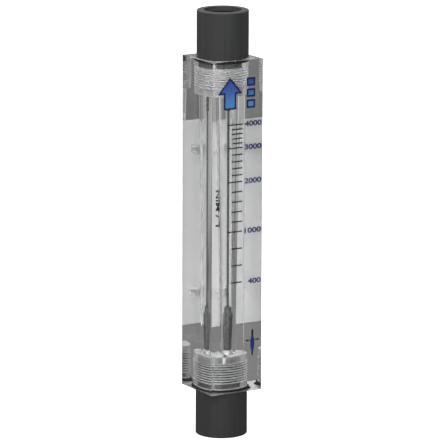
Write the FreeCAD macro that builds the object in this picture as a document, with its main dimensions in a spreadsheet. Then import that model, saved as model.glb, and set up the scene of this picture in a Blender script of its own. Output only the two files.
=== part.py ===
import FreeCAD, Part
import os

import Sketcher
from FreeCAD import Placement, Rotation, Vector

# Variable area flow meter with a clear square body, in millimetres.
# Z is up. The origin is the centre of the inlet fitting's end face, on which the meter can stand.
# The scale side of the block faces -Y and the mounting inserts are in the +Y face.

os.makedirs("parts", exist_ok=True)
doc = FreeCAD.newDocument("Rotameter")

# Driving dimensions. Everything else is worked out from these.
SIZES = {
    # Clear block
    "block_side": 50.8,
    "block_height": 293.0,
    "block_edge_chamfer": 0.5,
    "counterbore_diameter": 37.0,
    "counterbore_depth": 31.75,
    "bore_inlet_diameter": 16.2,
    "bore_middle_diameter": 18.4,
    "bore_outlet_diameter": 24.4,
    # End fittings, both the same part
    "fitting_diameter": 45.1,
    "fitting_exposed": 41.0,
    "fitting_end_chamfer": 0.6,
    "port_diameter": 30.4,
    "port_depth": 25.0,
    "port_mouth_chamfer": 1.2,
    "flow_diameter": 27.0,
    "spigot_clearance": 0.1,
    # Seals
    "o_ring_section": 2.2,
    "o_ring_clearance": 0.02,
    # Rod holders, both the same part
    "holder_height": 6.0,
    "holder_clearance": 0.2,
    "holder_hub_diameter": 7.2,
    "holder_arm_width": 2.6,
    "holder_arm_count": 3,
    # Guide rod and float
    "rod_diameter": 3.2,
    "rod_clearance": 0.05,
    "rod_engagement": 5.0,
    "rod_end_play": 0.2,
    "float_length": 38.0,
    "float_edge_diameter": 14.8,
    "float_edge_height": 31.6,
    "float_tail_diameter": 10.8,
    "float_neck_diameter": 10.4,
    "float_neck_length": 3.7,
    "float_guide_clearance": 0.25,
    "float_stop_gap": 0.1,
    "lower_stop_diameter": 10.4,
    "lower_stop_length": 3.25,
    "upper_stop_diameter": 5.4,
    "upper_stop_length": 15.25,
    # Tapped inserts in the rear face
    "insert_spacing": 127.0,
    "insert_diameter": 8.0,
    "insert_length": 9.5,
    "insert_tap_diameter": 5.2,
    "insert_clearance": 0.05,
    "insert_hole_depth": 11.0,
}

sheet = doc.addObject("Spreadsheet::Sheet", "Sizes")
for row, (alias, number) in enumerate(SIZES.items(), 1):
    sheet.set(f"A{row}", alias)
    sheet.set(f"B{row}", str(number))
    sheet.setAlias(f"B{row}", alias)
doc.recompute()


class Size:
    """A length with its present value and the formula that binds it to the sheet."""

    def __init__(self, value, formula):
        self.value = value
        self.formula = formula

    def __add__(self, other):
        other = as_size(other)
        return Size(self.value + other.value, f"({self.formula} + {other.formula})")

    def __sub__(self, other):
        other = as_size(other)
        return Size(self.value - other.value, f"({self.formula} - {other.formula})")

    def __mul__(self, other):
        other = as_size(other)
        return Size(self.value * other.value, f"({self.formula} * {other.formula})")

    def __truediv__(self, other):
        other = as_size(other)
        return Size(self.value / other.value, f"({self.formula} / {other.formula})")

    def __neg__(self):
        return Size(-self.value, f"(0 - {self.formula})")


def as_size(number):
    """A plain number as a size, and a size as it is."""
    return number if isinstance(number, Size) else Size(number, str(number))


def size(alias):
    """A driving dimension from the sheet."""
    return Size(SIZES[alias], f"Sizes.{alias}")


ZERO = as_size(0)


# Heights and radii that several pieces share, measured up from the stand or out from the axis.
block_bottom = size("fitting_exposed")
block_top = block_bottom + size("block_height")
total_height = block_top + size("fitting_exposed")
bore_bottom = block_bottom + size("counterbore_depth")
bore_top = block_top - size("counterbore_depth")
spigot_length = size("counterbore_depth") - size("holder_height")
counterbore_radius = size("counterbore_diameter") / 2
spigot_radius = counterbore_radius - size("spigot_clearance")
seat_radius = spigot_radius + size("o_ring_section") + size("o_ring_clearance") * 2
seat_depth = size("o_ring_section") + size("o_ring_clearance")
rod_radius = size("rod_diameter") / 2
rod_hole_radius = rod_radius + size("rod_clearance")
insert_hole_radius = size("insert_diameter") / 2 + size("insert_clearance")

UPRIGHT = Rotation()
INVERTED = Rotation(Vector(1, 0, 0), 180)
FACING_REAR = Rotation(Vector(1, 0, 0), -90)


def new_body(label, rotation=UPRIGHT, height=ZERO, rear=ZERO):
    """An empty body of this name, turned and raised to its place in the meter."""
    body = doc.addObject("PartDesign::Body", label)
    body.Label = label
    body.Placement = Placement(Vector(0, rear.value, height.value), rotation)
    body.setExpression("Placement.Base.y", rear.formula)
    body.setExpression("Placement.Base.z", height.formula)
    return body


def origin_plane(body, role):
    """The body's own origin plane or axis with this role."""
    return next(item for item in body.Origin.OriginFeatures if item.Role == role)


def new_sketch(body, name, role="XZ_Plane", offset=None):
    """An empty sketch on one of the body's origin planes, moved along the plane's normal."""
    sketch = body.newObject("Sketcher::SketchObject", name)
    sketch.AttachmentSupport = [(origin_plane(body, role), "")]
    sketch.MapMode = "FlatFace"
    if offset is not None:
        sketch.AttachmentOffset = Placement(Vector(0, 0, offset.value), Rotation())
        sketch.setExpression("AttachmentOffset.Base.z", offset.formula)
    return sketch


def bind(sketch, constraint, length):
    """Add a dimension to the sketch and tie it to the sheet."""
    index = sketch.addConstraint(constraint)
    sketch.setExpression(f"Constraints[{index}]", length.formula)


def pin_point(sketch, geometry, point, across, up):
    """Fix a point of the sketch at a distance across and up from the origin."""
    if across.value == 0:
        sketch.addConstraint(Sketcher.Constraint("PointOnObject", geometry, point, -2))
    else:
        bind(sketch, Sketcher.Constraint("DistanceX", -1, 1, geometry, point, across.value), across)
    if up.value == 0:
        sketch.addConstraint(Sketcher.Constraint("PointOnObject", geometry, point, -1))
    else:
        bind(sketch, Sketcher.Constraint("DistanceY", -1, 1, geometry, point, up.value), up)


def draw_outline(sketch, corners):
    """Close straight edges through these corners, each fixed by its own two sizes."""
    points = [Vector(across.value, up.value, 0) for across, up in corners]
    for start, end in zip(points, points[1:] + points[:1]):
        sketch.addGeometry(Part.LineSegment(start, end), False)
    for edge in range(len(corners)):
        following = (edge + 1) % len(corners)
        sketch.addConstraint(Sketcher.Constraint("Coincident", edge, 2, following, 1))
    for edge, (across, up) in enumerate(corners):
        pin_point(sketch, edge, 1, across, up)


def draw_circle(sketch, radius, across=ZERO, up=ZERO):
    """Draw a circle about a point of the sketch."""
    centre = Vector(across.value, up.value, 0)
    index = sketch.addGeometry(Part.Circle(centre, Vector(0, 0, 1), radius.value), False)
    bind(sketch, Sketcher.Constraint("Radius", index, radius.value), radius)
    pin_point(sketch, index, 3, across, up)


def turn(body, name, corners):
    """Turn a closed outline of radius and height about the body's axis."""
    sketch = new_sketch(body, name + "_outline")
    draw_outline(sketch, corners)
    turned = body.newObject("PartDesign::Revolution", name)
    turned.Profile = sketch
    turned.ReferenceAxis = (sketch, ["V_Axis"])
    turned.Angle = 360
    return turned


def pad(body, name, sketch, height):
    """Raise a sketch along its normal."""
    raised = body.newObject("PartDesign::Pad", name)
    raised.Profile = sketch
    raised.Length = height.value
    raised.setExpression("Length", height.formula)
    return raised


def cut_smaller(before, feature):
    """Stop if a cutting feature has taken nothing away."""
    if feature.Shape.Volume >= before:
        raise RuntimeError(feature.Label + " cuts nothing")


def groove(body, name, sketch):
    """Turn a sketch about the body's axis and cut it away."""
    turned = body.newObject("PartDesign::Groove", name)
    turned.Profile = sketch
    turned.ReferenceAxis = (sketch, ["V_Axis"])
    turned.Angle = 360
    return turned


def build_meter_body():
    """The clear block with its seal seats, counterbores, metering bore and rear insert holes."""
    body = new_body("meter_body", height=block_bottom)
    half_side = size("block_side") / 2
    outline = new_sketch(body, "block_outline", "XY_Plane")
    draw_outline(outline, [
        (-half_side, -half_side),
        (half_side, -half_side),
        (half_side, half_side),
        (-half_side, half_side),
    ])
    block = pad(body, "block", outline, size("block_height"))
    doc.recompute()

    edges = body.newObject("PartDesign::Chamfer", "polished_edges")
    edges.Base = (block, [f"Edge{number + 1}" for number in range(len(block.Shape.Edges))])
    edges.Size = SIZES["block_edge_chamfer"]
    edges.setExpression("Size", size("block_edge_chamfer").formula)
    doc.recompute()

    height = size("block_height")
    depth = size("counterbore_depth")
    taper = new_sketch(body, "taper_section")
    # Two tapers, the steeper one above, which is why the scale closes up towards the outlet.
    draw_outline(taper, [
        (ZERO, depth),
        (size("bore_inlet_diameter") / 2, depth),
        (size("bore_middle_diameter") / 2, height / 2),
        (size("bore_outlet_diameter") / 2, height - depth),
        (ZERO, height - depth),
    ])
    bore = groove(body, "metering_bore", taper)
    doc.recompute()
    cut_smaller(edges.Shape.Volume, bore)

    before = bore
    for end, start, inward in (("inlet", ZERO, 1), ("outlet", height, -1)):
        steps = new_sketch(body, end + "_steps")
        draw_outline(steps, [
            (ZERO, start),
            (seat_radius, start),
            (seat_radius, start + seat_depth * inward),
            (counterbore_radius, start + seat_depth * inward),
            (counterbore_radius, start + depth * inward),
            (ZERO, start + depth * inward),
        ])
        counterbore = groove(body, end + "_counterbore", steps)
        doc.recompute()
        cut_smaller(before.Shape.Volume, counterbore)
        before = counterbore

    holes = new_sketch(body, "insert_hole_circles", offset=-half_side)
    for direction in (-1, 1):
        draw_circle(holes, insert_hole_radius, up=height / 2 + size("insert_spacing") / 2 * direction)
    pockets = body.newObject("PartDesign::Pocket", "insert_holes")
    pockets.Profile = holes
    pockets.Reversed = True
    pockets.Length = SIZES["insert_hole_depth"]
    pockets.setExpression("Length", size("insert_hole_depth").formula)
    doc.recompute()
    cut_smaller(before.Shape.Volume, pockets)
    return body


def build_fitting(label, rotation, height):
    """A pipe adapter: a round body with a female port, and a spigot that screws into the block."""
    outer = size("fitting_diameter") / 2
    port = size("port_diameter") / 2
    flow = size("flow_diameter") / 2
    shoulder = size("fitting_exposed")
    end = shoulder + spigot_length
    edge = size("fitting_end_chamfer")
    mouth = size("port_mouth_chamfer")
    body = new_body(label, rotation, height)
    turn(body, "fitting", [
        (port + mouth, ZERO),
        (outer - edge, ZERO),
        (outer, edge),
        (outer, shoulder),
        (spigot_radius, shoulder),
        (spigot_radius, end),
        (flow, end),
        (flow, size("port_depth")),
        (port, size("port_depth")),
        (port, mouth),
    ])
    return body


def build_o_ring(label, rotation, height):
    """A seal squeezed square between the spigot, the block's seat and the fitting's shoulder."""
    section = size("o_ring_section")
    inner = spigot_radius + size("o_ring_clearance")
    outer = inner + section
    body = new_body(label, rotation, height)
    turn(body, "ring", [
        (inner, ZERO),
        (outer, ZERO),
        (outer, section),
        (inner, section),
    ])
    return body


def build_rod_holder(label, rotation, height):
    """Arms clamped between spigot and shoulder, with a hub that takes the end of the rod."""
    reach = counterbore_radius - size("holder_clearance")
    half_width = size("holder_arm_width") / 2
    body = new_body(label, rotation, height)

    arm_outline = new_sketch(body, "arm_outline", "XY_Plane")
    draw_outline(arm_outline, [
        (ZERO, -half_width),
        (reach, -half_width),
        (reach, half_width),
        (ZERO, half_width),
    ])
    arm = pad(body, "arm", arm_outline, size("holder_height"))
    doc.recompute()
    arms = body.newObject("PartDesign::PolarPattern", "arms")
    arms.Originals = [arm]
    arms.Axis = (origin_plane(body, "Z_Axis"), [""])
    arms.Angle = 360
    arms.Occurrences = SIZES["holder_arm_count"]
    arms.setExpression("Occurrences", size("holder_arm_count").formula)
    body.Tip = arms
    doc.recompute()

    hub_outline = new_sketch(body, "hub_outline", "XY_Plane")
    draw_circle(hub_outline, size("holder_hub_diameter") / 2)
    hub = pad(body, "hub", hub_outline, size("holder_height"))
    doc.recompute()

    socket_outline = new_sketch(body, "socket_outline", "XY_Plane", offset=size("holder_height"))
    draw_circle(socket_outline, rod_hole_radius)
    socket = body.newObject("PartDesign::Pocket", "rod_socket")
    socket.Profile = socket_outline
    socket.Length = SIZES["rod_engagement"]
    socket.setExpression("Length", size("rod_engagement").formula)
    doc.recompute()
    cut_smaller(hub.Shape.Volume, socket)
    return body


def build_guide_rod():
    """The rod on the axis, from one holder's socket to the other's."""
    start = bore_bottom - size("rod_engagement")
    length = bore_top + size("rod_engagement") - size("rod_end_play") - start
    body = new_body("guide_rod", height=start)
    turn(body, "rod", [
        (ZERO, ZERO),
        (rod_radius, ZERO),
        (rod_radius, length),
        (ZERO, length),
    ])
    return body


def build_float_stop(label, diameter, length, height):
    """A sleeve on the rod that ends the float's travel."""
    outer = diameter / 2
    body = new_body(label, height=height)
    turn(body, "sleeve", [
        (rod_hole_radius, ZERO),
        (outer, ZERO),
        (outer, length),
        (rod_hole_radius, length),
    ])
    return body


def build_float(height):
    """The turned float: a tail that widens to a sharp reading edge, a coned shoulder and a neck."""
    guide = rod_radius + size("float_guide_clearance")
    tail = size("float_tail_diameter") / 2
    edge = size("float_edge_diameter") / 2
    neck = size("float_neck_diameter") / 2
    length = size("float_length")
    edge_top = size("float_edge_height")
    body = new_body("float", height=height)
    turn(body, "spindle", [
        (guide, ZERO),
        (tail, ZERO),
        (edge, edge_top),
        (neck, length - size("float_neck_length")),
        (neck, length),
        (guide, length),
    ])
    return body


def build_mount_insert(label, height):
    """A tapped insert pressed into the rear face."""
    radius = size("insert_diameter") / 2
    tap = size("insert_tap_diameter") / 2
    length = size("insert_length")
    body = new_body(label, FACING_REAR, height, rear=size("block_side") / 2)
    turn(body, "insert", [
        (tap, -length),
        (radius, -length),
        (radius, ZERO),
        (tap, ZERO),
    ])
    return body


float_rest = bore_bottom + size("lower_stop_length") + size("float_stop_gap")
upper_stop_bottom = bore_top - size("upper_stop_length")
float_travel = upper_stop_bottom - float_rest - size("float_length") - size("float_stop_gap")
block_middle = block_bottom + size("block_height") / 2
half_spacing = size("insert_spacing") / 2

pieces = [
    build_meter_body(),
    build_fitting("inlet_fitting", UPRIGHT, ZERO),
    build_fitting("outlet_fitting", INVERTED, total_height),
    build_o_ring("inlet_o_ring", UPRIGHT, block_bottom),
    build_o_ring("outlet_o_ring", INVERTED, block_top),
    build_rod_holder("lower_rod_holder", UPRIGHT, bore_bottom - size("holder_height")),
    build_rod_holder("upper_rod_holder", INVERTED, bore_top + size("holder_height")),
    build_guide_rod(),
    build_float_stop("lower_float_stop", size("lower_stop_diameter"), size("lower_stop_length"), bore_bottom),
    build_float_stop(
        "upper_float_stop", size("upper_stop_diameter"), size("upper_stop_length"), upper_stop_bottom
    ),
    build_float(float_rest),
    build_mount_insert("lower_mount_insert", block_middle - half_spacing),
    build_mount_insert("upper_mount_insert", block_middle + half_spacing),
]
doc.recompute()

for item in doc.Objects:
    if "Invalid" in item.State or "Error" in item.State:
        raise RuntimeError(f"{item.Label} could not be built: {item.State}")
for piece in pieces:
    if piece.Shape.isNull() or not piece.Shape.isValid():
        raise RuntimeError(f"{piece.Label} has no valid shape")
    piece.Shape.exportStep(f"parts/{piece.Label}.step")
    box = piece.Shape.BoundBox
    print(f"{piece.Label}: {piece.Shape.Volume:.1f} mm3, z {box.ZMin:.2f} to {box.ZMax:.2f}")
print(f"float travel {float_travel.value:.2f} mm, rest at {float_rest.value:.2f} mm")
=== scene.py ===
"""Looks of a clear square-bodied rotameter: acrylic block, pipe fittings, float and printed scale."""

import logging
import math
from dataclasses import dataclass
from enum import Enum
from typing import Sequence

import bmesh
import bpy
from mathutils import Matrix, Quaternion, Vector


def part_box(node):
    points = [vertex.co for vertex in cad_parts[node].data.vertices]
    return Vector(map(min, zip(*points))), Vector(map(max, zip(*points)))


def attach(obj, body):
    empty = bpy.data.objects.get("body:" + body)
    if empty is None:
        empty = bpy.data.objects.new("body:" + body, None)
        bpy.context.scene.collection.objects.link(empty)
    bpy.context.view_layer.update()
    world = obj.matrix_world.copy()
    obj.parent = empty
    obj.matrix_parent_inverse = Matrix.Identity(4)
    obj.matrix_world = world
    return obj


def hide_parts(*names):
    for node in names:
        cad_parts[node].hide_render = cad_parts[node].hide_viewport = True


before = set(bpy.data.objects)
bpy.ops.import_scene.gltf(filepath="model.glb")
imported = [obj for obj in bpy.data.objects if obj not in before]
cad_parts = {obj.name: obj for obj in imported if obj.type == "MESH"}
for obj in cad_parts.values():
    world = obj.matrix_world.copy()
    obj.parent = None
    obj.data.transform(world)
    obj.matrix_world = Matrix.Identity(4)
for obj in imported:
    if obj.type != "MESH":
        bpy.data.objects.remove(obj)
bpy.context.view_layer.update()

logging.basicConfig(level=logging.INFO, format="%(message)s")
log = logging.getLogger("rotameter")

MM = 0.001
METER = "meter"
FLOAT = "float"

# Flats in a full turn of a large piece and of a small one.
FINE = 240
COARSE = 72
# Edges that bend more than this are shaded sharp.
SHARP_ANGLE = math.radians(12)
# Vertices nearer than the first are merged; places nearer than the second are the same.
SAME_VERT = 0.002 * MM
SAME_PLACE = 0.01 * MM
# The least part of a unit normal that points straight one way.
SQUARE_ON = 0.999
# Width of the flat on a thread's ridge, as a share of the pitch.
CREST_SHARE = 0.125
ACRYLIC_IOR = 1.491
LIT = (1, 1, 1, 1)
CLEAR = "clear_acrylic"

Point = tuple[float, float]
Colour = tuple[float, float, float]


class End(Enum):
    """One end of the meter; the value points from the block's middle out of that end."""

    INLET = -1
    OUTLET = 1


class Tick(Enum):
    """How far a mark of the scale reaches to the left, in millimetres from the middle of the face."""

    LONG = -9.6
    SHORT = -5.8


@dataclass(frozen=True)
class Corner:
    """A corner of a turned outline.

    Args:
        radius: Distance from the axis, in metres.
        height: Height in the meter's frame, in metres.
        rounding: Size of the round that takes the corner off, in metres.
    """

    radius: float
    height: float
    rounding: float = 0.0


class Signal:
    """A shader value that Python's operators extend with Math nodes."""

    def __init__(self, graph: "Graph", socket: bpy.types.NodeSocket) -> None:
        """Wrap one output socket of a graph."""
        self.graph = graph
        self.socket = socket

    def math(self, operation: str, other: "Signal | float") -> "Signal":
        """Apply one Math operation of two values."""
        return self.graph.node("ShaderNodeMath", {"operation": operation}, {0: self, 1: other})

    def __add__(self, other: "Signal | float") -> "Signal":
        """Add a value."""
        return self.math("ADD", other)

    def __sub__(self, other: "Signal | float") -> "Signal":
        """Take a value away."""
        return self.math("SUBTRACT", other)

    def __mul__(self, other: "Signal | float") -> "Signal":
        """Multiply by a value."""
        return self.math("MULTIPLY", other)

    def __rsub__(self, other: float) -> "Signal":
        """Take this from a number."""
        return self.graph.node("ShaderNodeMath", {"operation": "SUBTRACT"}, {0: other, 1: self})

    __radd__ = __add__
    __rmul__ = __mul__


class Graph:
    """The nodes of one material or world."""

    def __init__(self, tree: bpy.types.NodeTree) -> None:
        """Empty the tree."""
        self.tree = tree
        tree.nodes.clear()

    def node(self, kind: str, settings: dict | None = None, values: dict | None = None,
             result: int | str = 0) -> Signal:
        """Add a node of any kind.

        Args:
            kind: The node's type name.
            settings: Properties of the node, set first; "stops" are a ramp's places and greys.
            values: Numbers, colours or signals for its input sockets, by name or index.
            result: The output socket that is returned.

        Returns:
            The chosen output.
        """
        made = self.tree.nodes.new(kind)
        for name, setting in (settings or {}).items():
            if name == "stops":
                self.set_stops(made.color_ramp, setting)
            else:
                setattr(made, name, setting)
        for name, value in (values or {}).items():
            socket = made.inputs[name]
            if isinstance(value, Signal):
                self.tree.links.new(value.socket, socket)
            else:
                socket.default_value = value
        return Signal(self, made.outputs[result] if made.outputs else None)

    @staticmethod
    def set_stops(ramp: bpy.types.ColorRamp, stops: Sequence[Point]) -> None:
        """Give a ramp its grey stops.

        Args:
            ramp: The node's ramp.
            stops: Place and grey of each stop, in order.
        """
        for index, (place, grey) in enumerate(stops):
            stop = ramp.elements[index] if index < len(ramp.elements) else ramp.elements.new(place)
            stop.position = place
            stop.color = (grey, grey, grey, 1)

    def place(self) -> Signal:
        """Object coordinates, which are the meter's frame, in metres."""
        return self.node("ShaderNodeTexCoord", result="Object")

    def height(self) -> Signal:
        """Height in the meter's frame, in metres."""
        return self.node("ShaderNodeSeparateXYZ", {}, {0: self.place()}, result="Z")

    def noise(self, scale: float, detail: float = 3, stretch: Sequence[float] = (1, 1, 1)) -> Signal:
        """A noise value from 0 to 1; a stretch below 1 draws it out along that axis."""
        place = self.node("ShaderNodeMapping", {}, {"Vector": self.place(), "Scale": stretch})
        return self.node("ShaderNodeTexNoise", {}, {"Vector": place, "Scale": scale, "Detail": detail})

    def ramp(self, value: Signal, *stops: Point) -> Signal:
        """Map a value through grey stops."""
        return self.node("ShaderNodeValToRGB", {"stops": stops}, {"Fac": value})

    def blend(self, factor: Signal, low: Sequence[float], high: Sequence[float]) -> Signal:
        """Mix two colours by a value."""
        return self.node("ShaderNodeMix", {"data_type": "RGBA"},
                         {0: factor, 6: (*low, 1), 7: (*high, 1)}, result=2)

    def bump(self, height: Signal, depth: float, strength: float = 0.5) -> Signal:
        """Turn a height into a normal; depth is in metres."""
        return self.node("ShaderNodeBump", {}, {"Height": height, "Distance": depth, "Strength": strength})

    def fade(self, value: Signal, start: float, end: float) -> Signal:
        """Go smoothly from 0 where a value is at its start to 1 at its end."""
        return self.node("ShaderNodeMapRange", {"interpolation_type": "SMOOTHSTEP"},
                         {"Value": value, "From Min": start, "From Max": end})

    def along(self, vector: Signal, way: Sequence[float]) -> Signal:
        """How far a vector points one way."""
        return self.node("ShaderNodeVectorMath", {"operation": "DOT_PRODUCT"},
                         {0: vector, 1: tuple(Vector(way).normalized())}, result="Value")


def shade(colour: Colour, share: float) -> Colour:
    """A darker or lighter colour of the same hue."""
    return tuple(share * value for value in colour)


@dataclass(frozen=True)
class Finish:
    """A surface finish; each kind adds its own pattern to the shader.

    Args:
        name: The material's name.
        slot: The record's material slot.
    """

    name: str
    slot: str

    def surface(self, graph: Graph) -> dict:
        """Values and signals for the shader's sockets."""
        raise NotImplementedError

    def material(self) -> bpy.types.Material:
        """Make the material once and hand out the same one afterwards.

        Returns:
            The material of this finish's name.
        """
        made = bpy.data.materials.get(self.name)
        if made is None:
            made = bpy.data.materials.new(self.name)
            made.use_nodes = True
            graph = Graph(made.node_tree)
            shader = graph.node("ShaderNodeBsdfPrincipled", {}, self.surface(graph))
            graph.node("ShaderNodeOutputMaterial", {}, {"Surface": shader})
        return made


@dataclass(frozen=True)
class PolishedAcrylic(Finish):
    """Clear acrylic, polished, with faint handling haze."""

    haze: float = 0.02

    def surface(self, graph: Graph) -> dict:
        """Clear, with roughness that wanders a little."""
        haze = graph.noise(scale=60, detail=2) * self.haze
        return {"Base Color": (0.985, 0.99, 0.99, 1), "Roughness": haze, "IOR": ACRYLIC_IOR,
                "Transmission Weight": 1.0}


@dataclass(frozen=True)
class MachinedAcrylic(Finish):
    """Clear acrylic as the cutter left it: hazy, with fine feed marks.

    Args:
        haze: Lowest roughness.
        patches: How much the haze grows in its patches.
        clear: How much light passes; the rest is scattered white.
        marks: Strength of the feed marks.
        depth: Their depth, in metres.
    """

    haze: float = 0.25
    patches: float = 0.25
    clear: float = 0.8
    marks: float = 0.5
    depth: float = 0.00002

    def surface(self, graph: Graph) -> dict:
        """Hazy in patches, with feed marks across the axis."""
        marks = graph.noise(scale=2500, detail=2, stretch=(0.05, 0.05, 1))
        return {"Base Color": (0.975, 0.98, 0.98, 1), "IOR": ACRYLIC_IOR, "Transmission Weight": self.clear,
                "Roughness": graph.noise(scale=400, detail=4) * self.patches + self.haze,
                "Normal": graph.bump(marks, self.depth, self.marks)}


@dataclass(frozen=True)
class Ink(Finish):
    """Screen-printed ink, a little uneven, also used as a dark painted shade on thread flanks; thin is what
    is left of its colour where it is thinnest.
    """

    colour: Colour
    thin: float = 0.93

    def surface(self, graph: Graph) -> dict:
        """Flat colour broken up by the print's mottle."""
        mottle = graph.noise(scale=250)
        return {"Base Color": graph.blend(mottle, shade(self.colour, self.thin), self.colour),
                "Roughness": mottle * 0.2 + 0.45, "Specular IOR Level": 0.15}


@dataclass(frozen=True)
class FadedInk(Finish):
    """Ink that runs from one colour at its foot to another at its head.

    Args:
        foot: Height where the fade starts, in metres.
        head: Height where it ends.
        ragged: How far the mottle shifts the fade up and down, in metres.
        low: Colour below.
        high: Colour above.
    """

    foot: float = 0.29
    head: float = 0.32
    ragged: float = 0.012
    low: Colour = (0.04, 0.17, 0.36)
    high: Colour = (0.015, 0.035, 0.2)

    def surface(self, graph: Graph) -> dict:
        """Two blues that meet in a mottled fade."""
        mottle = graph.noise(scale=400)
        level = graph.height() + (mottle - 0.5) * self.ragged
        return {"Base Color": graph.blend(graph.fade(level, self.foot, self.head), self.low, self.high),
                "Roughness": mottle * 0.2 + 0.4}


@dataclass(frozen=True)
class GreyPvc(Finish):
    """Dark grey moulded plastic with faint draw lines down its side.

    The lines go from a dark to a light share of its colour.
    """

    colour: Colour = (0.021, 0.0215, 0.022)
    dark: float = 0.6
    light: float = 1.4
    gloss: float = 0.5
    depth: float = 0.00008

    def surface(self, graph: Graph) -> dict:
        """Grey with draw lines and a fine orange peel."""
        lines = graph.noise(scale=320, stretch=(1, 1, 0.03))
        return {"Base Color": graph.blend(lines, shade(self.colour, self.dark),
                                          shade(self.colour, self.light)),
                "Roughness": lines * 0.2 + self.gloss, "Specular IOR Level": 0.3,
                "Normal": graph.bump(lines * 0.7 + graph.noise(scale=1100, detail=2) * 0.5, self.depth)}


@dataclass(frozen=True)
class FacedPvc(Finish):
    """The same plastic where a tool has faced it: paler and smoother."""

    def surface(self, graph: Graph) -> dict:
        """Paler grey with fine wear."""
        wear = graph.noise(scale=500)
        return {"Base Color": graph.blend(wear, (0.035, 0.036, 0.037), (0.06, 0.061, 0.062)),
                "Roughness": wear * 0.15 + 0.3, "Normal": graph.bump(wear, depth=0.00004)}


@dataclass(frozen=True)
class WhitePlastic(Finish):
    """White machined plastic."""

    def surface(self, graph: Graph) -> dict:
        """White with a faint mottle."""
        mottle = graph.noise(scale=700)
        return {"Base Color": graph.blend(mottle, (0.8, 0.8, 0.78), (0.9, 0.9, 0.88)),
                "Roughness": mottle * 0.15 + 0.35, "Normal": graph.bump(mottle, depth=0.00004)}


@dataclass(frozen=True)
class BlackRubber(Finish):
    """Matt black seal rubber."""

    def surface(self, graph: Graph) -> dict:
        """Nearly black, with a dusty bloom."""
        bloom = graph.noise(scale=500)
        return {"Base Color": graph.blend(bloom, (0.006, 0.006, 0.006), (0.02, 0.02, 0.02)),
                "Roughness": bloom * 0.2 + 0.5, "Specular IOR Level": 0.15}


@dataclass(frozen=True)
class TurnedSteel(Finish):
    """Stainless steel with the rings that turning leaves.

    Where it is dull, a dark share of its colour is left.
    """

    colour: Colour
    gloss: float
    dark: float = 0.8
    depth: float = 0.00001

    def surface(self, graph: Graph) -> dict:
        """Metal with dull patches and fine rings round the axis."""
        rings = graph.noise(scale=1400, detail=2, stretch=(0.03, 0.03, 1))
        bright = graph.ramp(graph.noise(scale=900, stretch=(1, 1, 0.4)), (0.35, 0.0), (0.65, 1.0))
        return {"Base Color": graph.blend(bright, shade(self.colour, self.dark), self.colour),
                "Metallic": 1.0, "Roughness": rings * 0.15 + self.gloss,
                "Normal": graph.bump(rings, self.depth)}


ACRYLIC = PolishedAcrylic("acrylic_polished", CLEAR)
BORE_WALL = PolishedAcrylic("acrylic_bore", CLEAR, haze=0.05)
MACHINED = MachinedAcrylic("acrylic_machined", CLEAR)
THREADED = MachinedAcrylic("acrylic_threaded", CLEAR, haze=0.05, patches=0.1, clear=0.93, marks=0.1)
FLANK = MachinedAcrylic("acrylic_flank", CLEAR, haze=0.5, patches=0.1, clear=0.45, marks=0.1)
FACED = MachinedAcrylic("acrylic_faced", CLEAR, haze=0.08, patches=0.15, clear=0.98, marks=0.2)
# Dark grey on the lower end's thread flanks that widen upwards: partly the PVC seen where the fitting bears
# on them, partly painted shade of those flanks.
TOUCHING = Ink("acrylic_on_pvc", CLEAR, (0.03, 0.03, 0.03))
FROSTED = MachinedAcrylic("acrylic_frosted", CLEAR, haze=0.5, patches=0.1, clear=0.0, marks=1.0)
BACKING = Ink("ink_backing_white", CLEAR, (0.96, 0.96, 0.96))
BLACK_INK = Ink("ink_black", CLEAR, (0.004, 0.004, 0.005))
NAVY_INK = Ink("ink_navy", CLEAR, (0.006, 0.009, 0.06))
SIGN_INK = Ink("ink_sign_blue", CLEAR, (0.011, 0.024, 0.09))
BLUE_INK = FadedInk("ink_blue", CLEAR)
PVC = GreyPvc("pvc_dark_grey", "grey_plastic")
PVC_FACED = FacedPvc("pvc_faced", "grey_plastic")
WHITE = WhitePlastic("plastic_white", "white_plastic")
RUBBER = BlackRubber("rubber_black", "black_rubber")
STEEL = TurnedSteel("steel_turned", "steel", (0.34, 0.34, 0.35), gloss=0.12, dark=0.35)
ROD_STEEL = TurnedSteel("steel_rod", "steel", (0.14, 0.14, 0.15), gloss=0.2)
INSERT_METAL = TurnedSteel("steel_insert", "steel", (0.36, 0.36, 0.36), gloss=0.35)


class Surface(Enum):
    """Which finish each face of the block has; the value is its material index."""

    POLISHED = 0
    BORE = 1
    MACHINED = 2
    BACKING = 3
    THREADED = 4
    FROSTED = 5
    SEAL = 6
    FLANK = 7
    FACED = 8
    # Lower thread flanks in dark painted shade, partly the PVC bearing on them.
    TOUCHING = 9

    @property
    def finish(self) -> Finish:
        """The finish that goes with the index."""
        return (ACRYLIC, BORE_WALL, MACHINED, BACKING, THREADED, FROSTED, RUBBER,
                FLANK, FACED, TOUCHING)[self.value]


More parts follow.
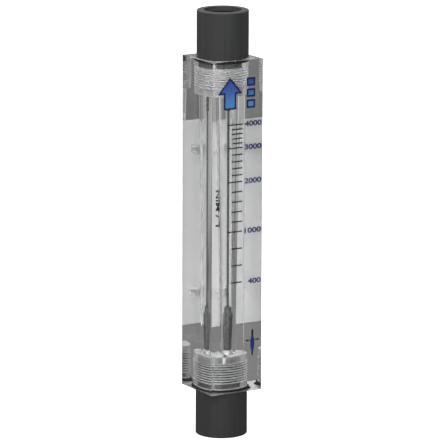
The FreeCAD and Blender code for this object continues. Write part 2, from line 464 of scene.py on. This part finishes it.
class Part:
    """A mesh under construction that ends as one named piece on a body."""

    def __init__(self, name: str) -> None:
        """Start an empty mesh."""
        self.name = name
        self.bm = bmesh.new()

    def turn(self, corners: Sequence[Corner], closed: bool, steps: int = FINE) -> None:
        """Round an outline's corners and spin it about the meter's axis.

        Args:
            corners: The outline, in order.
            closed: Whether the last corner joins the first.
            steps: How many flats make the full turn.
        """
        points = [self.bm.verts.new((corner.radius, 0, corner.height)) for corner in corners]
        for pair in list(zip(points, points[1:])) + ([(points[-1], points[0])] if closed else []):
            self.bm.edges.new(pair)
        for size in sorted({corner.rounding for corner in corners if corner.rounding}):
            chosen = [point for point, corner in zip(points, corners) if corner.rounding == size]
            bmesh.ops.bevel(self.bm, geom=chosen, offset=size, offset_type="OFFSET", affect="VERTICES",
                            segments=3, profile=0.5, material=-1)
        bmesh.ops.spin(self.bm, geom=[*self.bm.verts, *self.bm.edges], cent=(0, 0, 0), axis=(0, 0, 1),
                       angle=math.tau, steps=steps, use_merge=True)

    def finish(self, body: str, finishes: Sequence[Finish], nodes: Sequence[str] = ()) -> None:
        """Close the mesh, give it its materials and hang it on its body.

        Args:
            body: The body that the piece moves with.
            finishes: Finishes in the order of the faces' material indices.
            nodes: The solids that it stands for.
        """
        bmesh.ops.remove_doubles(self.bm, verts=self.bm.verts, dist=SAME_VERT)
        bmesh.ops.recalc_face_normals(self.bm, faces=self.bm.faces)
        for face in self.bm.faces:
            face.smooth = True
        mesh = bpy.data.meshes.new(self.name)
        self.bm.to_mesh(mesh)
        self.bm.free()
        mesh.set_sharp_from_angle(angle=SHARP_ANGLE)
        piece = bpy.data.objects.new(self.name, mesh)
        bpy.context.scene.collection.objects.link(piece)
        for finish in finishes:
            mesh.materials.append(finish.material())
        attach(piece, body)
        if nodes:
            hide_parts(*nodes)
        log.info("%s: %d faces on %s", self.name, len(mesh.polygons), body)


def thread(start: float, end: float, pitch: float, root: float, crest: float) -> list[Corner]:
    """The corners of a row of V ridges.

    Args:
        start: Height where the row starts.
        end: Height where it has to end.
        pitch: Distance from ridge to ridge; its sign is that of end minus start.
        root: Radius between the ridges.
        crest: Radius at their tops.

    Returns:
        Corners from start towards end.
    """
    flat = pitch * CREST_SHARE
    corners = []
    for turn in range(int((end - start) / pitch)):
        base = start + turn * pitch
        top = base + pitch / 2
        corners += [Corner(root, base), Corner(crest, top - flat / 2), Corner(crest, top + flat / 2),
                    Corner(root, base + pitch - flat)]
    return corners


@dataclass
class Layout:
    """Heights and radii that the sub-assemblies share, in metres, read from the frame where it has them."""

    seat_radius: float = 20.64 * MM
    seat_depth: float = 2.22 * MM
    counterbore_radius: float = 18.5 * MM
    counterbore_depth: float = 31.75 * MM
    inlet_radius: float = 8.1 * MM
    middle_radius: float = 9.2 * MM
    outlet_radius: float = 12.2 * MM
    thread_pitch: float = 2.209 * MM
    thread_height: float = 1.0 * MM
    thread_start: float = 7.5 * MM
    thread_end: float = 26.2 * MM
    film: float = 0.02 * MM

    def __post_init__(self) -> None:
        """Read the block's box; its front face lies under the printed film."""
        low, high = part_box("meter_body")
        self.half_side = high.x
        self.front = low.y + self.film
        self.bottom = low.z
        self.top = high.z
        self.middle = (low.z + high.z) / 2
        self.low_shoulder = self.bottom + self.counterbore_depth
        self.high_shoulder = self.top - self.counterbore_depth
        self.bend = 2 * (self.inlet_radius + self.outlet_radius - 2 * self.middle_radius)
        self.slope = self.outlet_radius - self.inlet_radius - self.bend

    def mouth(self, end: End) -> float:
        """Height of the block's face at this end."""
        return self.top if end is End.OUTLET else self.bottom

    def ridges(self, end: End, root: float, crest: float, after: float) -> list[Corner]:
        """The thread of this end's counterbore or spigot.

        Args:
            end: The end of the block.
            root: Radius between the ridges.
            crest: Radius at their tops.
            after: Radius where the ridges have run out.

        Returns:
            Corners from the block's face inwards.
        """
        face, inward = self.mouth(end), -end.value
        rows = thread(face + inward * self.thread_start, face + inward * self.thread_end,
                      inward * self.thread_pitch, root, crest)
        return [*rows, Corner(after, rows[-1].height + inward * self.thread_pitch / 4)]

    def bore_radius(self, height: float) -> float:
        """Radius of the metering bore, a smooth curve through its inlet, middle and outlet."""
        place = (height - self.low_shoulder) / (self.high_shoulder - self.low_shoulder)
        return self.inlet_radius + self.slope * place + self.bend * place * place


@dataclass
class MeterBody:
    """The clear block: polished outside, machined counterbores, polished bore, white field behind."""

    layout: Layout
    edge: float = 0.4 * MM
    field_low: float = 53.0 * MM
    field_high: float = 235.0 * MM
    bore_levels: int = 40
    insert_radius: float = 4.05 * MM
    insert_depth: float = 11.0 * MM
    seal_edge: float = 0.2 * MM
    seal_reach: float = 3.3 * MM
    slant: float = 0.1 * MM

    def end_outline(self, end: End) -> list[Corner]:
        """The cavity's steps at one end.

        Args:
            end: The end of the block.

        Returns:
            Corners from that end's face to the counterbore's shoulder.
        """
        lay = self.layout
        face, inward = lay.mouth(end), -end.value
        valley = lay.counterbore_radius + lay.thread_height / 2
        ridge = lay.counterbore_radius - lay.thread_height / 2
        return [Corner(lay.seat_radius, face), Corner(lay.seat_radius, face + inward * self.seal_edge),
                Corner(lay.seat_radius, face + inward * lay.seat_depth),
                Corner(valley, face + inward * lay.seat_depth),
                Corner(valley, face + inward * self.seal_reach),
                *lay.ridges(end, valley, ridge, lay.counterbore_radius),
                Corner(lay.counterbore_radius, face + inward * lay.counterbore_depth)]

    def bore_outline(self) -> list[Corner]:
        """The metering bore's wall.

        Returns:
            Corners from shoulder to shoulder.
        """
        lay = self.layout
        span = lay.high_shoulder - lay.low_shoulder
        levels = [lay.low_shoulder + span * step / self.bore_levels for step in range(self.bore_levels + 1)]
        return [Corner(lay.bore_radius(level), level) for level in levels]

    def surface_of(self, face: bmesh.types.BMFace) -> Surface:
        """Tell the surface of a face of the cavity from its place, from what touches it and from the slant of
        a thread flank, which decides where the dark painted shade goes.

        Args:
            face: A face of the cavity.

        Returns:
            Its surface.
        """
        lay = self.layout
        centre = face.calc_center_median()
        depth = min(centre.z - lay.bottom, lay.top - centre.z)
        radius = math.hypot(centre.x, centre.y)
        if abs(depth - lay.counterbore_depth) < SAME_PLACE:
            return Surface.FROSTED
        if depth > lay.counterbore_depth:
            return Surface.BORE
        if radius > lay.counterbore_radius + lay.thread_height and depth > self.seal_edge:
            return Surface.SEAL
        if centre.z > lay.middle and depth < self.seal_reach:
            return Surface.SEAL
        if depth < lay.thread_start - lay.thread_pitch:
            return Surface.FLANK
        if depth >= lay.thread_end:
            return Surface.MACHINED
        upper = max(face.verts, key=lambda vert: vert.co.z).co
        lower = min(face.verts, key=lambda vert: vert.co.z).co
        narrowing = math.hypot(lower.x, lower.y) - math.hypot(upper.x, upper.y)
        if narrowing > self.slant:
            return Surface.FLANK
        # Flanks that widen upwards at the lower end get the dark painted shade, partly the PVC bearing on
        # them.
        return Surface.TOUCHING if narrowing < -self.slant and centre.z < lay.middle else Surface.THREADED

    def is_large(self, face: bmesh.types.BMFace) -> bool:
        """Whether a face is one of the block's sides or ends, not one of its small bevels."""
        return face.calc_area() > self.layout.half_side * self.layout.half_side

    @staticmethod
    def paint(items: Sequence[object], surface: Surface) -> None:
        """Give the faces among an operator's results their surface."""
        for face in (item for item in items if isinstance(item, bmesh.types.BMFace)):
            face.material_index = surface.value

    def shell(self) -> bmesh.types.BMesh:
        """Make the outer faces, open at both ends and split where the white field starts and stops.

        Returns:
            A mesh of its own.
        """
        lay = self.layout
        bm = bmesh.new()
        side = lay.half_side * 2
        bmesh.ops.create_cube(bm, size=1)
        bmesh.ops.scale(bm, vec=(side, side, lay.top - lay.bottom), verts=bm.verts)
        bmesh.ops.translate(bm, vec=(0, 0, lay.middle), verts=bm.verts)
        bmesh.ops.translate(bm, vec=(0, lay.film, 0), verts=[vert for vert in bm.verts if vert.co.y < 0])
        bmesh.ops.bevel(bm, geom=list(bm.edges), offset=self.edge, offset_type="OFFSET", affect="EDGES",
                        segments=2, profile=0.5, material=-1)
        ends = [face for face in bm.faces if abs(face.normal.z) > SQUARE_ON and self.is_large(face)]
        bmesh.ops.delete(bm, geom=ends, context="FACES_ONLY")
        leaning = 0.1
        self.paint([face for face in bm.faces if abs(face.normal.z) > leaning], Surface.FACED)
        for height in (lay.bottom + self.field_low, lay.bottom + self.field_high):
            bmesh.ops.bisect_plane(bm, geom=[*bm.verts, *bm.edges, *bm.faces], dist=SAME_VERT / 2,
                                   plane_co=(0, 0, height), plane_no=(0, 0, 1))
        return bm

    def back_field(self, bm: bmesh.types.BMesh) -> None:
        """Colour the white field on the rear face and sink the two blind holes through it.

        Args:
            bm: The shell.
        """
        lay = self.layout
        start, end = lay.bottom + self.field_low, lay.bottom + self.field_high
        field = [face for face in bm.faces if face.normal.y > SQUARE_ON and self.is_large(face)
                 and start < face.calc_center_median().z < end]
        border = list({edge for face in field for edge in face.edges})
        bmesh.ops.delete(bm, geom=field, context="FACES_ONLY")
        rims = []
        for node in ("lower_mount_insert", "upper_mount_insert"):
            low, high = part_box(node)
            place = Matrix.Translation((0, lay.half_side, (low.z + high.z) / 2))
            ring = bmesh.ops.create_circle(bm, cap_ends=False, segments=COARSE, radius=self.insert_radius,
                                           matrix=place @ Matrix.Rotation(-math.pi / 2, 4, "X"))
            rims.append(list({edge for vert in ring["verts"] for edge in vert.link_edges}))
        filled = bmesh.ops.triangle_fill(bm, use_beauty=True, use_dissolve=False, edges=sum(rims, border))
        self.paint(filled["geom"], Surface.BACKING)
        for rim in rims:
            walls = bmesh.ops.extrude_edge_only(bm, edges=rim)["geom"]
            inner = [item for item in walls if isinstance(item, bmesh.types.BMVert)]
            bmesh.ops.translate(bm, vec=(0, -self.insert_depth, 0), verts=inner)
            foot = {edge for vert in inner for edge in vert.link_edges if edge.other_vert(vert) in inner}
            cap = bmesh.ops.contextual_create(bm, geom=list(foot))["faces"]
            self.paint([*cap, *walls], Surface.MACHINED)

    def build(self) -> None:
        """Make the block."""
        part = Part("clear_block")
        cavity = self.end_outline(End.INLET) + self.bore_outline() + self.end_outline(End.OUTLET)[::-1]
        part.turn(cavity, closed=False)
        bmesh.ops.remove_doubles(part.bm, verts=part.bm.verts, dist=SAME_VERT)
        for face in part.bm.faces:
            face.material_index = self.surface_of(face).value
        shell = self.shell()
        self.back_field(shell)
        scratch = bpy.data.meshes.new("shell")
        shell.to_mesh(scratch)
        shell.free()
        part.bm.from_mesh(scratch)
        bpy.data.meshes.remove(scratch)
        for end, surface in ((End.INLET, Surface.MACHINED), (End.OUTLET, Surface.FACED)):
            face = self.layout.mouth(end)
            rim = [edge for edge in part.bm.edges if edge.is_boundary
                   and all(abs(vert.co.z - face) < SAME_PLACE for vert in edge.verts)]
            filled = bmesh.ops.triangle_fill(part.bm, use_beauty=True, use_dissolve=False, edges=rim)
            self.paint(filled["geom"], surface)
        part.finish(METER, [surface.finish for surface in Surface], ["meter_body"])


@dataclass
class Fitting:
    """A pipe adapter: chamfered round body, threaded port and threaded spigot."""

    layout: Layout
    end: End
    chamfer: float = 0.6 * MM
    edge_round: float = 0.1 * MM
    mouth: float = 1.2 * MM
    mouth_round: float = 0.15 * MM
    port_radius: float = 15.2 * MM
    port_depth: float = 25.0 * MM
    port_relief: float = 1.0 * MM
    port_pitch: float = 2.209 * MM
    port_thread: float = 1.1 * MM
    flow_radius: float = 13.5 * MM
    spigot_round: float = 0.3 * MM
    clearance: float = 0.12 * MM

    def build(self) -> None:
        """Make the fitting."""
        lay = self.layout
        node = f"{self.end.name.lower()}_fitting"
        low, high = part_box(node)
        tip, inner = (high.z, low.z) if self.end is End.OUTLET else (low.z, high.z)
        inward = -self.end.value
        face = lay.mouth(self.end)
        crest = lay.counterbore_radius + lay.thread_height / 2 - self.clearance
        root = crest - lay.thread_height
        port_end = tip + inward * (self.port_depth + self.port_relief)
        port = thread(tip + inward * self.mouth * 2, tip + inward * self.port_depth, inward * self.port_pitch,
                      self.port_radius + self.port_thread / 2, self.port_radius - self.port_thread / 2)
        part = Part(f"{node}_body")
        part.turn([Corner(self.port_radius + self.mouth, tip, self.mouth_round),
                   Corner(high.x - self.chamfer, tip, self.edge_round),
                   Corner(high.x, tip + inward * self.chamfer, self.edge_round),
                   Corner(high.x, face, self.edge_round), Corner(crest, face),
                   *lay.ridges(self.end, crest, root, root),
                   Corner(root, inner, self.spigot_round), Corner(self.flow_radius, inner, self.spigot_round),
                   Corner(self.flow_radius, port_end), Corner(self.port_radius, port_end), *port[::-1]],
                  closed=True)
        bmesh.ops.recalc_face_normals(part.bm, faces=part.bm.faces)
        for face in part.bm.faces:
            if face.normal.z * self.end.value > 0.5 and abs(face.calc_center_median().z - tip) < self.mouth:
                face.material_index = 1
        part.finish(METER, (PVC, PVC_FACED), [node])


@dataclass
class Seal:
    """An O-ring squeezed in its seat; its corners are rounded by a share of the section."""

    end: End
    round_share: float = 0.42

    def build(self) -> None:
        """Make the ring."""
        node = f"{self.end.name.lower()}_o_ring"
        low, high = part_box(node)
        section = high.z - low.z
        inner, rounding = high.x - section, section * self.round_share
        part = Part(f"{node}_seal")
        part.turn([Corner(inner, low.z, rounding), Corner(high.x, low.z, rounding),
                   Corner(high.x, high.z, rounding), Corner(inner, high.z, rounding)], closed=True)
        part.finish(METER, (RUBBER,), [node])


@dataclass
class FloatTrain:
    """The float, the rod that it rides on, and the pad and the sleeve that stop it."""

    rod_radius: float = 1.6 * MM
    guide_radius: float = 1.85 * MM
    edge_height: float = 31.6 * MM
    edge_round: float = 0.1 * MM
    tail_radius: float = 5.4 * MM
    neck_radius: float = 5.2 * MM
    neck_length: float = 3.7 * MM
    end_round: float = 0.5 * MM
    small_round: float = 0.3 * MM
    stop_clearance: float = 0.05 * MM

    def build_float(self) -> None:
        """Turn the float."""
        low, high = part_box("float")
        part = Part("float_spindle")
        part.turn([Corner(self.guide_radius, low.z), Corner(self.tail_radius, low.z, self.end_round),
                   Corner(high.x, low.z + self.edge_height, self.edge_round),
                   Corner(self.neck_radius, high.z - self.neck_length, self.small_round),
                   Corner(self.neck_radius, high.z, self.end_round), Corner(self.guide_radius, high.z)],
                  closed=True, steps=COARSE * 2)
        part.finish(FLOAT, (STEEL,), ["float"])

    def build_bar(self, name: str, node: str, finish: Finish, bore: float = 0.0) -> None:
        """Turn the rod or a stop: a bar with rounded ends.

        Args:
            name: The piece's name.
            node: The solid that it stands for.
            finish: What it is made of.
            bore: Radius of its hole; without one it is the rod.
        """
        low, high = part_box(node)
        radius = high.x if bore else self.rod_radius
        part = Part(name)
        part.turn([Corner(bore, low.z), Corner(radius, low.z, self.small_round),
                   Corner(radius, high.z, self.small_round), Corner(bore, high.z)],
                  closed=bore > 0, steps=COARSE)
        part.finish(METER, (finish,), [node])

    def build(self) -> None:
        """Make the rod, the float and its two stops."""
        self.build_bar("guide_rod_bar", "guide_rod", ROD_STEEL)
        self.build_float()
        for node, finish in (("lower_float_stop", WHITE), ("upper_float_stop", ROD_STEEL)):
            self.build_bar(f"{node}_sleeve", node, finish, bore=self.rod_radius + self.stop_clearance)


@dataclass
class Print:
    """Ink on the front face; its sizes are millimetres across the face and up from the block's bottom."""

    layout: Layout

    def spot(self, across: float, up: float, lift: float = 0.0) -> Vector:
        """A place on the face in metres, lifted off it by a share of the film's thickness."""
        lay = self.layout
        return Vector((across * MM, lay.front - lay.film * lift, lay.bottom + up * MM))

    def stamp(self, part: Part, points: Sequence[Point]) -> bmesh.types.BMFace:
        """Print a flat shape.

        Args:
            part: The mesh that it joins.
            points: Its corners across and up the face, in order.

        Returns:
            Its outer face.
        """
        sheet = part.bm.faces.new([part.bm.verts.new(self.spot(*point)) for point in points])
        thick = bmesh.ops.extrude_face_region(part.bm, geom=[sheet])["geom"]
        raised = [item for item in thick if isinstance(item, bmesh.types.BMVert)]
        bmesh.ops.translate(part.bm, vec=(0, -self.layout.film, 0), verts=raised)
        return next(item for item in thick if isinstance(item, bmesh.types.BMFace))

    def text(self, name: str, words: str, width: float, height: float, left: float, base: float,
             finish: Finish, weight: float, upward: bool = False) -> None:
        """Print some characters.

        Args:
            name: The piece's name.
            words: What is printed.
            width: Length of the whole line.
            height: Height of a capital.
            left: Where the line starts, across the face.
            base: Where its foot is, up the face.
            finish: The ink.
            weight: How much the strokes are thickened, as a share of the type's size.
            upward: Whether it reads from the bottom up.
        """
        curve = bpy.data.curves.new(name, "FONT")
        curve.body = words
        curve.extrude = self.layout.film / 2
        curve.offset = weight
        carrier = bpy.data.objects.new(name + "_curve", curve)
        bpy.context.scene.collection.objects.link(carrier)
        mesh = bpy.data.meshes.new_from_object(carrier)
        bpy.data.objects.remove(carrier)
        part = Part(name)
        part.bm.from_mesh(mesh)
        bpy.data.meshes.remove(mesh)
        xs = [vert.co.x for vert in part.bm.verts]
        ys = [vert.co.y for vert in part.bm.verts]
        spread = Matrix.Diagonal((width * MM / (max(xs) - min(xs)), height * MM / (max(ys) - min(ys)), 1, 1))
        shift = Matrix.Translation((-min(xs), -min(ys), 0))
        stand = Matrix.Rotation(math.pi / 2, 4, "X")
        lean = Matrix.Rotation(-math.pi / 2, 4, "Y") if upward else Matrix.Identity(4)
        place = Matrix.Translation(self.spot(left, base, lift=0.5))
        bmesh.ops.transform(part.bm, matrix=place @ lean @ stand @ spread @ shift, verts=part.bm.verts)
        part.finish(METER, (finish,))


@dataclass
class Scale(Print):
    """The marks, their numbers and the unit; marks are pairs of a flow and its height."""

    marks: tuple[tuple[int, float], ...] = ((400, 98.6), (1000, 143.6), (2000, 187.4), (3000, 217.2),
                                            (4000, 237.6))
    step: int = 200
    long_step: int = 1000
    right: float = 5.0
    line: float = 1.15
    number_starts: tuple[float, ...] = (11.0, 7.4, 7.0, 7.0, 7.0)
    number_end: float = 24.2
    digit_height: float = 4.9
    digit_drop: float = 2.5

    def height_of(self, flow: float) -> float:
        """Height of a flow's mark, spaced evenly between the numbered ones."""
        pairs = zip(self.marks, self.marks[1:])
        (low, start), (high, stop) = next(pair for pair in pairs if flow <= pair[1][0])
        return start + (stop - start) * (flow - low) / (high - low)

    def build_marks(self) -> None:
        """Print the marks, from the lowest numbered one to the highest."""
        part = Part("scale_marks")
        for flow in range(self.marks[0][0], self.marks[-1][0] + 1, self.step):
            left = (Tick.SHORT if flow % self.long_step else Tick.LONG).value
            before = set(part.bm.verts)
            bmesh.ops.create_cube(part.bm, size=1)
            bar = [vert for vert in part.bm.verts if vert not in before]
            size = ((self.right - left) * MM, self.layout.film, self.line * MM)
            middle = self.spot((left + self.right) / 2, self.height_of(flow), lift=0.5)
            bmesh.ops.scale(part.bm, vec=size, verts=bar)
            bmesh.ops.translate(part.bm, vec=middle, verts=bar)
        part.finish(METER, (BLACK_INK,))

    def build(self) -> None:
        """Print the marks, their numbers and the unit."""
        self.build_marks()
        for (flow, height), left in zip(self.marks, self.number_starts):
            self.text(f"number_{flow}", str(flow), width=self.number_end - left, height=self.digit_height,
                      left=left, base=height - self.digit_drop, finish=NAVY_INK, weight=0.04)
        self.text("unit", "L / MIN", width=32.0, height=4.4, left=-17.2, base=150.0, finish=BLACK_INK,
                  weight=0.03, upward=True)


@dataclass
class ReadingSign(Print):
    """A small float with a line across it, which shows where the float is read."""

    middle: float = 15.95
    outline: tuple[Point, ...] = ((0.7, 35.0), (1.9, 39.5), (2.1, 45.6), (1.3, 48.2), (0.7, 49.4))
    line_half: float = 0.9
    head: float = 54.9
    foot_half: float = 0.5
    foot: float = 31.8
    near: float = 2.4
    near_heights: Point = (45.35, 45.95)
    far: float = 6.6
    far_heights: Point = (44.9, 46.4)

    def even(self, halves: Sequence[Point]) -> list[Point]:
        """Corners of a shape that is even about the middle, from its half widths and their heights."""
        return ([(self.middle + half, height) for half, height in halves]
                + [(self.middle - half, height) for half, height in reversed(halves)])

    def build(self) -> None:
        """Print the float and its lines."""
        sign = Part("sign_float")
        self.stamp(sign, self.even(self.outline))
        sign.finish(METER, (SIGN_INK,))
        lines = Part("sign_lines")
        (_, low), (_, high) = self.outline[0], self.outline[-1]
        self.stamp(lines, self.even(((self.line_half, high), (self.line_half, self.head))))
        self.stamp(lines, self.even(((self.foot_half, self.foot), (self.line_half, low))))
        for way in (-1, 1):
            tip, end = self.middle + way * self.near, self.middle + way * self.far
            self.stamp(lines, [(tip, self.near_heights[0]), (end, self.far_heights[0]),
                               (end, self.far_heights[1]), (tip, self.near_heights[1])])
        lines.finish(METER, (BLACK_INK,))


@dataclass
class FlowArrow(Print):
    """A plain arrow that shows the way of the flow, beside three plain fields, all with a dark outline."""

    middle: float = -7.5
    foot: float = 251.0
    neck: float = 264.5
    head: float = 279.0
    half_shaft: float = 6.2
    half_head: float = 12.5
    outline: float = 1.6
    field_left: float = 9.0
    field_right: float = 17.5
    field_height: float = 7.4
    field_step: float = 9.6
    fields: int = 3

    def build(self) -> None:
        """Print the arrow and the fields."""
        part = Part("flow_arrow")
        left, right = self.middle - self.half_shaft, self.middle + self.half_shaft
        faces = [self.stamp(part, [(left, self.foot), (right, self.foot), (right, self.neck),
                                   (self.middle + self.half_head, self.neck), (self.middle, self.head),
                                   (self.middle - self.half_head, self.neck), (left, self.neck)])]
        for step in range(self.fields):
            low = self.foot + step * self.field_step
            high = low + self.field_height
            faces.append(self.stamp(part, [(self.field_left, low), (self.field_right, low),
                                           (self.field_right, high), (self.field_left, high)]))
        bmesh.ops.inset_individual(part.bm, faces=faces, thickness=self.outline * MM, use_even_offset=True)
        for face in faces:
            face.material_index = 1
        part.finish(METER, (NAVY_INK, BLUE_INK))


@dataclass(frozen=True)
class Patch:
    """A brighter or darker part of the room, or painted light or shade on the floor.

    Args:
        way: Direction in which it lies.
        start: Where it starts along that direction: metres on the floor, a cosine in the room.
        end: Where it is full.
        shown: What it adds where glass and metal show it.
        light: What it adds as a source of light.
    """

    way: tuple[float, float, float]
    start: float
    end: float
    shown: float = 1.0
    light: float = 0.0

    def share(self, graph: Graph, place: Signal) -> Signal:
        """How much of it there is at a place or in a direction, from 0 to 1."""
        return graph.fade(graph.along(place, self.way), self.start, self.end)


@dataclass
class Studio:
    """Camera, floor, soft lights and surroundings."""

    azimuth: float = math.radians(-30.87)
    elevation: float = math.radians(12.23)
    roll: float = math.radians(0.22)
    distance: float = 3.5125
    aim_height: float = 0.1883
    focal_pixels: float = 4049.0
    image_pixels: float = 444.0
    sensor: float = 36.0
    sight: float = 50.0
    floor_radius: float = 9.0
    floor_sides: int = 96
    floor_colour: Colour = (0.9, 0.9, 0.9)
    floor_glow: float = 0.35
    floor_light: float = 0.4
    floor_shown: float = 0.18
    # Painted light and shade on the floor where glass and metal show it: lighter near the meter, painted
    # light on the left and far to the right, painted shade far in front and in the corner behind.
    near: float = 0.04
    near_reach: Point = (0.8, 0.15)
    lit: Patch = Patch((-0.8, -0.6, 0), 0.0, 0.5, shown=0.5)
    far_right: Patch = Patch((1, 0.6, 0), 0.5, 0.9, shown=0.35)
    far_front: Patch = Patch((0.5, -0.86, 0), 0.8, 1.6, shown=0.14)
    corner: Patch = Patch((1, 0.6, 0), 0.5, 0.62, shown=0.18)
    behind: Patch = Patch((0, 1, 0), 0.12, 0.22)
    key: Patch = Patch((-0.58, -0.69, 0.42), 0.9, 0.97, shown=0.7, light=8.8)
    top: Patch = Patch((0.1, 0.1, 1.0), 0.6, 0.95, shown=0.4, light=1.7)
    left: Patch = Patch((-0.88, 0.47, 0), 0.3, 0.9, shown=0.5)
    room_shown: float = 0.36
    room_light: float = 0.4

    def build_camera(self) -> None:
        """Set the camera at the photograph's angle."""
        data = bpy.data.cameras.new("camera")
        data.sensor_width = self.sensor
        data.lens = self.focal_pixels / self.image_pixels * self.sensor
        data.clip_end = self.sight
        camera = bpy.data.objects.new("camera", data)
        bpy.context.scene.collection.objects.link(camera)
        back = Vector((math.sin(self.azimuth) * math.cos(self.elevation),
                       -math.cos(self.azimuth) * math.cos(self.elevation), math.sin(self.elevation)))
        camera.location = Vector((0, 0, self.aim_height)) + back * self.distance
        camera.rotation_mode = "QUATERNION"
        camera.rotation_quaternion = back.to_track_quat("Z", "Y") @ Quaternion((0, 0, 1), self.roll)
        bpy.context.scene.camera = camera

    def floor_level(self, graph: Graph) -> Signal:
        """Brightness of the floor where glass and metal show it.

        Args:
            graph: The floor's nodes.

        Returns:
            Its grey, with painted light near the meter, on the left and far to the right, and painted shade
            in front and in the corner behind.
        """
        place = graph.place()
        away = graph.node("ShaderNodeVectorMath", {"operation": "LENGTH"}, {0: place}, result="Value")
        near = graph.fade(away, *self.near_reach)
        lit, far_right, far_front, corner, behind = (patch.share(graph, place) for patch in (
            self.lit, self.far_right, self.far_front, self.corner, self.behind))
        # Painted light near, on the left and far right; painted shade in front and in the corner behind.
        return (near * self.near + lit * self.lit.shown + far_right * self.far_right.shown
                - far_front * self.far_front.shown - corner * behind * self.corner.shown + self.floor_shown)

    def build_floor(self) -> None:
        """Lay the floor: white to the camera, grey with painted light and shade to what looks through the
        acrylic.
        """
        part = Part("floor")
        bmesh.ops.create_circle(part.bm, cap_ends=True, segments=self.floor_sides, radius=self.floor_radius)
        mesh = bpy.data.meshes.new("floor")
        part.bm.to_mesh(mesh)
        part.bm.free()
        floor = bpy.data.objects.new("floor", mesh)
        bpy.context.scene.collection.objects.link(floor)
        material = bpy.data.materials.new("floor_white")
        material.use_nodes = True
        graph = Graph(material.node_tree)
        level = self.shown_in_glass(graph, self.floor_level(graph), self.floor_light)
        white = graph.node("ShaderNodeBsdfDiffuse", {}, {"Color": (*self.floor_colour, 1)})
        glow = graph.node("ShaderNodeEmission", {}, {"Color": LIT, "Strength": self.floor_glow})
        bright = graph.node("ShaderNodeAddShader", {}, {0: white, 1: glow})
        grey = graph.node("ShaderNodeEmission", {}, {"Color": LIT, "Strength": level})
        seen = graph.node("ShaderNodeLightPath", result="Is Camera Ray")
        both = graph.node("ShaderNodeMixShader", {}, {0: seen, 1: grey, 2: bright})
        graph.node("ShaderNodeOutputMaterial", {}, {"Surface": both})
        mesh.materials.append(material)

    def build_world(self) -> None:
        """White to the camera; a soft studio with a large frontal light to everything else."""
        world = bpy.data.worlds.new("studio")
        bpy.context.scene.world = world
        world.use_nodes = True
        graph = Graph(world.node_tree)
        direction = graph.node("ShaderNodeTexCoord", result="Generated")
        key, top, left = (patch.share(graph, direction) for patch in (self.key, self.top, self.left))
        studio = key * self.key.light + top * self.top.light + self.room_light
        shown = key * self.key.shown + top * self.top.shown + left * self.left.shown + self.room_shown
        level = self.shown_in_glass(graph, shown, studio)
        light = graph.node("ShaderNodeBackground", {}, {"Color": LIT, "Strength": level})
        white = graph.node("ShaderNodeBackground", {}, {"Color": LIT, "Strength": 1.0})
        seen = graph.node("ShaderNodeLightPath", result="Is Camera Ray")
        both = graph.node("ShaderNodeMixShader", {}, {0: seen, 1: light, 2: white})
        graph.node("ShaderNodeOutputWorld", {}, {"Surface": both})

    @staticmethod
    def shown_in_glass(graph: Graph, shown: Signal, light: Signal | float) -> Signal:
        """Choose what glass and metal show, and the light that everything else gets.

        Args:
            graph: The nodes of the floor or the world.
            shown: Brightness seen in a reflection or through the acrylic.
            light: Brightness as a source of light.

        Returns:
            The brightness for this ray.
        """
        glossy = graph.node("ShaderNodeLightPath", result="Is Glossy Ray")
        passed = graph.node("ShaderNodeLightPath", result="Is Transmission Ray")
        scattered = graph.node("ShaderNodeLightPath", result="Diffuse Depth")
        clear = glossy.math("MAXIMUM", passed) * (1 - scattered.math("MINIMUM", 1.0))
        return clear * shown + (1 - clear) * light

    def build(self) -> None:
        """Make everything around the object."""
        self.build_camera()
        self.build_floor()
        self.build_world()
        bpy.context.scene.view_settings.view_transform = "Standard"


def main() -> None:
    """Build every piece in order."""
    layout = Layout()
    MeterBody(layout).build()
    for end in End:
        Fitting(layout, end).build()
        Seal(end).build()
    FloatTrain().build()
    for node, finish in (("lower_rod_holder", WHITE), ("upper_rod_holder", WHITE),
                         ("lower_mount_insert", INSERT_METAL), ("upper_mount_insert", INSERT_METAL)):
        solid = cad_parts[node]
        solid.data.materials.clear()
        solid.data.materials.append(finish.material())
        log.info("%s keeps its solid", node)
    for printed in (Scale, ReadingSign, FlowArrow):
        printed(layout).build()
    Studio().build()


if __name__ == "__main__":
    main()
